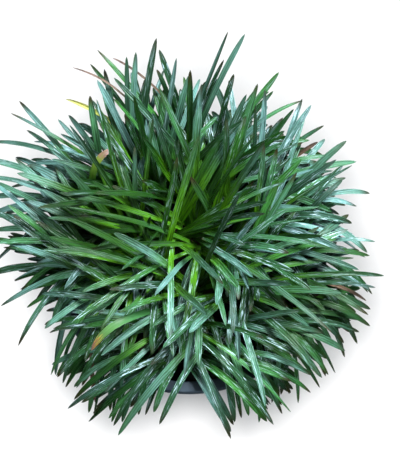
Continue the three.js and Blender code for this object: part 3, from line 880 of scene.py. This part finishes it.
class Blades:
    """Gathers the leaves of one piece into one mesh with the attributes its material reads."""

    ATTRIBUTES = ("across", "along", "painted_shade", "tone", "fresh", "shaded_green", "painted_sheen", "painted_glint", "spent")

    def __init__(self, canopy):
        self.canopy = canopy
        self.vertices = []
        self.faces = []
        self.slots = []
        self.values = {name: [] for name in self.ATTRIBUTES}

    def add(self, leaf, slot=GREEN):
        """One leaf: a channelled strap with a keel under it, as a closed skin."""
        channel = CHANNEL * leaf.get("channel", 1)
        thick = leaf.get("thick", 1)
        keel_depth = channel + (KEEL - CHANNEL) * thick
        phase = leaf["tone"] * SWAY_PHASE
        first = len(self.vertices)
        for t in LEAF_STEPS:
            along = heading_at(leaf, t)
            roll = leaf["roll"] + leaf["twist"] * t
            side = Matrix.Rotation(roll, 3, along) @ level_side(along)
            down = along.cross(side)
            share = width_share(t)
            half = leaf["width"] * share / 2
            sway = SWAY * math.sin(phase + SWAY_ALONG * t) * math.sin(math.pi * t)
            middle = curve_at(leaf, t) + side * sway
            here = self.looks_at(leaf, t, middle)
            for across in TOP_ACROSS:
                groove = channel * share * (1 - abs(across) ** CHANNEL_CURVE)
                rib = RIB * share * thick * math.cos(across * RIB_WAVES * math.pi)
                self.vertices.append(middle + side * half * across + down * (groove - rib))
                self.note(here, across)
            for across in UNDER_ACROSS:
                keel = keel_depth * share * (1 - abs(across) ** KEEL_CURVE)
                keel += EDGE * thick * (1 - keel / KEEL)
                self.vertices.append(middle + side * half * across + down * keel)
                self.note(here, across)
        self.close(first, slot)

    def looks_at(self, leaf, t, middle):
        """The attributes, other than across, at the share t of a leaf's length."""
        side_lit = SIDE_LIT * ease(math.hypot(middle.x, middle.y), *SIDE_LIT_RANGE)
        return {
            "along": t,
            # Painted shade by depth under the leaves over it, less at the mound's lit edge.
            "painted_shade": ease(self.canopy.depth(middle), *PAINTED_SHADE_RANGE) * (1 - side_lit),
            "tone": leaf["tone"],
            "fresh": leaf["fresh"],
            # Spots of painted shade, painted sheen and painted glints.
            "shaded_green": strength_at(middle, SHADED_GREEN_SPOTS),
            "painted_sheen": leaf["painted_sheen"] + strength_at(middle, SHEEN_SPOTS),
            "painted_glint": leaf["painted_glint"] + strength_at(middle, GLINT_SPOTS) * leaf["tone"],
            "spent": leaf["spent"],
        }

    def note(self, here, across):
        self.values["across"].append(across)
        for name, value in here.items():
            self.values[name].append(value)

    def close(self, first, slot):
        """The faces of the leaf whose corners begin at first: its foot, its skin and its tip."""
        count = len(TOP_ACROSS) + len(UNDER_ACROSS)
        last = first + (len(LEAF_STEPS) - 1) * count
        made = [tuple(first + i for i in range(count))]
        for low in range(first, last, count):
            for a, b, c, d in ring_faces(low, low + count, count):
                made.append((a, d, c, b))
        made.append(tuple(last + i for i in reversed(range(count))))
        self.faces += made
        self.slots += [slot] * len(made)

    def build(self, name, materials):
        made = piece(name, self.vertices, self.faces, materials, self.slots)
        for key, values in self.values.items():
            layer = made.data.attributes.new(key, "FLOAT", "POINT")
            layer.data.foreach_set("value", values)
        return made


def dressed(leaf, draw, freshest=USUAL_FRESH):
    """The leaf with the tones that its material reads."""
    leaf["tone"] = draw.random()
    leaf["fresh"] = freshest * draw.uniform(*FRESH_DRAW)
    # Painted light: a few leaves take the young green far up them, as if lit through from behind.
    if draw.random() < BACKLIT_SHARE:
        leaf["fresh"] = BACKLIT_FRESH
    # Pale leaves get a strong painted sheen, the rest a faint one.
    pale = draw.random() < PALE_SHARE
    leaf["painted_sheen"] = draw.uniform(*(PALE_LEAF_SHEEN if pale else DARK_LEAF_SHEEN))
    # How much painted glint a leaf has.
    leaf["painted_glint"] = draw.random() ** GLINT_CURVE
    fresher = ease(freshest, *SPENT_RANGE)
    leaf["spent"] = draw.random() ** (OLD_SPENT + (FRESH_SPENT - OLD_SPENT) * fresher)
    return leaf


def filler(crown, pair, draw):
    """A leaf between two of the tuft's own and below them, for the inside of the mound."""
    a, b = pair
    share = draw.uniform(*FILLER_SHARE)
    reach = draw.uniform(*FILLER_REACH)
    tip = a["tip"].lerp(b["tip"], share)
    bend = a["bend"].lerp(b["bend"], share)
    aside = Vector((either_way(draw, FILLER_SCATTER), either_way(draw, FILLER_SCATTER), 0))
    root = crown + aside
    tip = root + (tip - root) * reach
    bend = root + (bend - root) * reach * draw.uniform(*FILLER_BEND)
    tip.z -= draw.uniform(*FILLER_SINK)
    return {
        "root": root,
        "bend": bend,
        "tip": tip,
        "width": draw.uniform(*FILLER_WIDTH),
        "roll": either_way(draw, FILLER_ROLL),
        "twist": either_way(draw, FILLER_TWIST),
    }


def clear_of_rim(leaf):
    """Whether a leaf passes over the pot's rim and well outside its wall."""
    for step in range(1, RIM_CHECKS + 1):
        spot = curve_at(leaf, step / RIM_CHECKS)
        radius = math.hypot(spot.x, spot.y)
        by_rim = MOUTH_RADIUS - BESIDE_RIM < radius < RIM_RADIUS + BESIDE_RIM
        if by_rim and spot.z < POT_HEIGHT + OVER_RIM:
            return False
    return True


def add_fillers(blades, crown, leaves, freshest, draw):
    """Leaves between the tuft's own, by their order round the crown, where the rim is clear."""

    def heading(leaf):
        return math.atan2(leaf["tip"].y - crown.y, leaf["tip"].x - crown.x)

    ordered = sorted(leaves, key=heading)
    added = 0
    for _ in range(FILLERS_PER_TUFT * TRIES_PER_FILLER):
        if added == FILLERS_PER_TUFT or len(ordered) < 2:
            break
        i = draw.randrange(len(ordered))
        leaf = filler(crown, (ordered[i - 1], ordered[i]), draw)
        if clear_of_rim(leaf):
            dressed(leaf, draw, freshest * FILLER_FRESH)
            # Painted shade and less painted sheen: fillers lie inside the mound.
            leaf["tone"] *= FILLER_SHADE_TONE
            leaf["painted_sheen"] *= FILLER_SHEEN
            blades.add(leaf)
            added += 1


def sheath(crown, heading, draw):
    """A short, dry leaf foot that wraps the crown."""
    out = Vector((math.cos(heading), math.sin(heading), 0))
    rise = draw.uniform(*SHEATH_RISE)
    root = crown + out * SHEATH_OUT - UP * SHEATH_DOWN
    channel, thick = SHEATH_FORM
    return {
        "root": root,
        "bend": root + out * SHEATH_BOW + UP * rise * SHEATH_BEND,
        "tip": root + out * draw.uniform(*SHEATH_LEAN) + UP * rise,
        "width": draw.uniform(*SHEATH_WIDTH),
        "roll": either_way(draw, SHEATH_ROLL),
        "twist": either_way(draw, SHEATH_TWIST),
        "channel": channel,
        "thick": thick,
    }


def build_tuft(name, leaves, canopy, materials):
    """A crown's own leaves, the fillers between them, its sheaths, and the leaf that turns."""
    draw = random.Random(name)
    crown = sum((leaf["root"] for leaf in leaves), Vector()) / len(leaves)
    outer = ease(math.hypot(crown.x, crown.y), *FRESH_RANGE)
    freshest = INNER_FRESH - (INNER_FRESH - OUTER_FRESH) * outer
    freshest += SHADED_GREEN_FRESHER * strength_at(crown, SHADED_GREEN_SPOTS)
    blades = Blades(canopy)
    for leaf in leaves:
        blades.add(dressed(leaf, draw, freshest))
    add_fillers(blades, crown, leaves, freshest, draw)
    for i in range(SHEATHS_PER_TUFT):
        heading = 2 * math.pi * (i + either_way(draw, SHEATH_SPREAD)) / SHEATHS_PER_TUFT
        blades.add(dressed(sheath(crown, heading, draw), draw, freshest=0.0), DRY)
    if name == TURNING_TUFT:
        blades.add(dressed({"root": crown, **TURNING_LEAF}, draw), TURNING)
    made = blades.build("leaves_" + name, materials)
    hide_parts(name)
    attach(made, "root")


def build_turned(name, slot, canopy, material):
    """A single leaf or stalk that has turned, in place of its own node."""
    draw = random.Random(name)
    blades = Blades(canopy)
    for leaf in packed_leaves(name):
        leaf["channel"], leaf["thick"] = TURNED_FORMS[slot]
        blades.add(dressed(leaf, draw))
    made = blades.build("blade_" + name, [material])
    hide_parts(name)
    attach(made, "root")


# The pot and the potting mix


def build_pot():
    """The pot's shell, turned on its axis, with the drain holes cut through its floor."""
    skirt = POT_HEIGHT - SKIRT_DEPTH
    profile = rounded(
        (
            (0, 0),
            (FOOT_RADIUS, 0),
            (LEDGE_RADIUS, POT_HEIGHT - LEDGE),
            (SKIRT_INNER, POT_HEIGHT - LEDGE),
            (SKIRT_INNER, skirt),
            (RIM_RADIUS, skirt),
            (RIM_RADIUS, POT_HEIGHT),
            (MOUTH_RADIUS, POT_HEIGHT),
            (FOOT_INNER, POT_FLOOR),
            (0, POT_FLOOR),
        ),
        EDGE_ROUND,
    )
    pot = lathe("pot_shell", profile, POT_SIDES, [pot_material()])
    hole = ((0, DRILL_LOW), (DRAIN_RADIUS, DRILL_LOW), (DRAIN_RADIUS, DRILL_HIGH), (0, DRILL_HIGH))
    drills = []
    for i, centre in enumerate(ring(DRAIN_CIRCLE, 0, DRAIN_HOLES)):
        drill = lathe(f"drill_{i}", hole, DRAIN_SIDES, [])
        drill.location = centre
        drills.append(drill)
        cut = pot.modifiers.new(drill.name, "BOOLEAN")
        cut.operation = "DIFFERENCE"
        cut.solver = "EXACT"
        cut.object = drill
    bpy.context.view_layer.update()
    whole = pot.evaluated_get(bpy.context.evaluated_depsgraph_get())
    drilled = bpy.data.meshes.new_from_object(whole)
    pot.modifiers.clear()
    pot.data = drilled
    for drill in drills:
        bpy.data.objects.remove(drill)
    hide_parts("pot")
    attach(pot, "root")


def soil_height(radius):
    return SOIL_TOP + SOIL_RISE * (1 - (radius / MOUTH_RADIUS) ** 2)


def wall_radius(height):
    """The pot's inner radius at a height."""
    share = (height - POT_FLOOR) / (POT_HEIGHT - POT_FLOOR)
    return FOOT_INNER + (MOUTH_RADIUS - FOOT_INNER) * share


def build_soil():
    """The potting mix: a lumpy surface over a plain block, with bark chips lying on it."""
    low = POT_FLOOR + SOIL_GAP
    edge = wall_radius(SOIL_TOP) - SOIL_GAP
    vertices = [Vector((0, 0, low))]
    vertices += ring(wall_radius(low) - SOIL_GAP, low, SOIL_SIDES)
    vertices += ring(edge, SOIL_TOP, SOIL_SIDES)
    for k in range(1, SOIL_RINGS):
        radius = edge * (1 - k / SOIL_RINGS)
        for spot in ring(radius, 0, SOIL_SIDES):
            lump = noise.fractal(spot * LUMP_SCALE, LUMP_ROUGHNESS, LUMP_FINER, LUMP_OCTAVES)
            vertices.append(spot + UP * (soil_height(radius) + lump * LUMP_HEIGHT))
    vertices.append(Vector((0, 0, soil_height(0))))
    faces = round_faces(SOIL_RINGS + 1, SOIL_SIDES)
    slots = [0] * len(faces)
    draw = random.Random("chips")
    for _ in range(CHIPS):
        add_chip(vertices, faces, draw)
    slots += [1] * (len(faces) - len(slots))
    materials = [
        soil_material("potting_mix", MIX_DARK, MIX_LIGHT),
        soil_material("bark", BARK_DARK, BARK_LIGHT),
    ]
    soil = piece("soil", vertices, faces, materials, slots, smooth_under=40)
    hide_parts("potting_mix")
    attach(soil, "root")


def add_chip(vertices, faces, draw):
    """A bark chip: a flat, uneven prism of five or six sides, lying at a slant."""
    radius = (wall_radius(SOIL_TOP) - CHIP_TO_WALL) * math.sqrt(draw.random())
    turn = draw.uniform(0, 2 * math.pi)
    spot = Vector((radius * math.cos(turn), radius * math.sin(turn), soil_height(radius)))
    lie = Matrix.Rotation(draw.uniform(0, 2 * math.pi), 3, "Z")
    lie = Matrix.Rotation(either_way(draw, CHIP_SLANT), 3, "X") @ lie
    sides = draw.choice(CHIP_SIDES)
    length = draw.uniform(*CHIP_LENGTH)
    breadth = length * draw.uniform(*CHIP_BREADTH)
    thick = draw.uniform(*CHIP_THICK)
    first = len(vertices)
    for level in (-1, 1):
        for i in range(sides):
            angle = 2 * math.pi * i / sides
            grow = draw.uniform(*CHIP_CORNER) * (1 - CHIP_TAPER * level)
            x = length * math.cos(angle) * grow
            y = breadth * math.sin(angle) * grow
            vertices.append(spot + lie @ Vector((x, y, thick * level / 2)))
    faces.append(tuple(first + i for i in reversed(range(sides))))
    faces += ring_faces(first, first + sides, sides)
    faces.append(tuple(first + sides + i for i in range(sides)))


# The stage, the lights and the camera


def build_stage():
    """A round white floor and the dome over it, which neither light the plant nor shade it."""
    profile = [(0, 0), (STAGE_RADIUS, 0)]
    for step in range(1, DOME_STEPS):
        turn = math.pi / 2 * step / DOME_STEPS
        profile.append((STAGE_RADIUS * math.cos(turn), STAGE_RADIUS * math.sin(turn)))
    profile.append((0, STAGE_RADIUS))
    stage = lathe("stage", profile, STAGE_SIDES, [stage_material()])
    stage.visible_diffuse = False
    stage.visible_glossy = False
    stage.visible_shadow = False
    return stage


def aimed(name, data, place, target):
    """An object at a place in the scene, turned so that it looks at a target."""
    made = bpy.data.objects.new(name, data)
    made.location = place
    made.rotation_euler = (Vector(target) - Vector(place)).to_track_quat("-Z", "Y").to_euler()
    bpy.context.scene.collection.objects.link(made)
    return made


def build_lamp(name, place, target, lit, size, power, colour, shines):
    """A round lamp that lights only what is in the collection lit, with or without a shine."""
    data = bpy.data.lights.new(name, "AREA")
    data.shape = "DISK"
    data.size = size
    data.energy = power
    data.color = colour
    made = aimed(name, data, place, target)
    made.visible_camera = False
    made.visible_glossy = shines
    made.light_linking.receiver_collection = lit


def collection_of(name, objects):
    made = bpy.data.collections.new(name)
    for item in objects:
        made.objects.link(item)
    return made


def build_sky():
    """A pale sky, brightest overhead."""
    world = bpy.data.worlds.new("studio")
    world.use_nodes = True
    tree = world.node_tree
    sky = tree.nodes["Background"]
    place = tree.nodes.new("ShaderNodeTexCoord")
    split = tree.nodes.new("ShaderNodeSeparateXYZ")
    strength = tree.nodes.new("ShaderNodeMapRange")
    tree.links.new(place.outputs["Generated"], split.inputs[0])
    tree.links.new(split.outputs["Z"], strength.inputs["Value"])
    for name, value in SKY_RANGE.items():
        strength.inputs[name].default_value = value
    tree.links.new(strength.outputs[0], sky.inputs["Strength"])
    sky.inputs["Color"].default_value = (*SKY_COLOUR, 1.0)
    bpy.context.scene.world = world


def build_lights(floor):
    """The sky, lamps that light the plant alone, and lamps that light the floor alone."""
    build_sky()
    pieces = [item for item in bpy.context.scene.objects if item.type == "MESH" and item != floor]
    plant = collection_of("plant", pieces)
    ground = collection_of("ground", [floor])
    for name, place, *settings in PLANT_LAMPS:
        build_lamp(name, place, (0, 0, POT_HEIGHT), plant, *settings)
    for name, place, *settings in FLOOR_LAMPS:
        build_lamp(name, place, (0, 0, 0), ground, *settings)


def build_camera():
    """The photograph's view: from above the front, at about 71 degrees of elevation."""
    data = bpy.data.cameras.new("camera")
    data.sensor_fit = "VERTICAL"
    data.sensor_height = SENSOR_HEIGHT
    data.lens = LENS
    bpy.context.scene.camera = aimed("camera", data, CAMERA_PLACE, CAMERA_TARGET)


build_camera()
build_pot()
build_soil()

green = green_leaf_material()
turned = {name: turned_leaf_material(name, *look) for name, look in TURNED_LOOKS.items()}

leaves_of = {tuft: packed_leaves(tuft) for tuft in TUFTS}
mound = Canopy([leaf for leaves in leaves_of.values() for leaf in leaves])
for tuft, tuft_leaves in leaves_of.items():
    looks = [green, turned["dry_leaf"]]
    if tuft == TURNING_TUFT:
        looks.append(turned["turning_leaf"])
    build_tuft(tuft, tuft_leaves, mound, looks)
for look in TURNED_FORMS:
    for node in sorted(NODES):
        if node.startswith(look):
            build_turned(node, look, mound, turned[look])

build_lights(build_stage())
bpy.context.scene.view_settings.view_transform = "Standard"
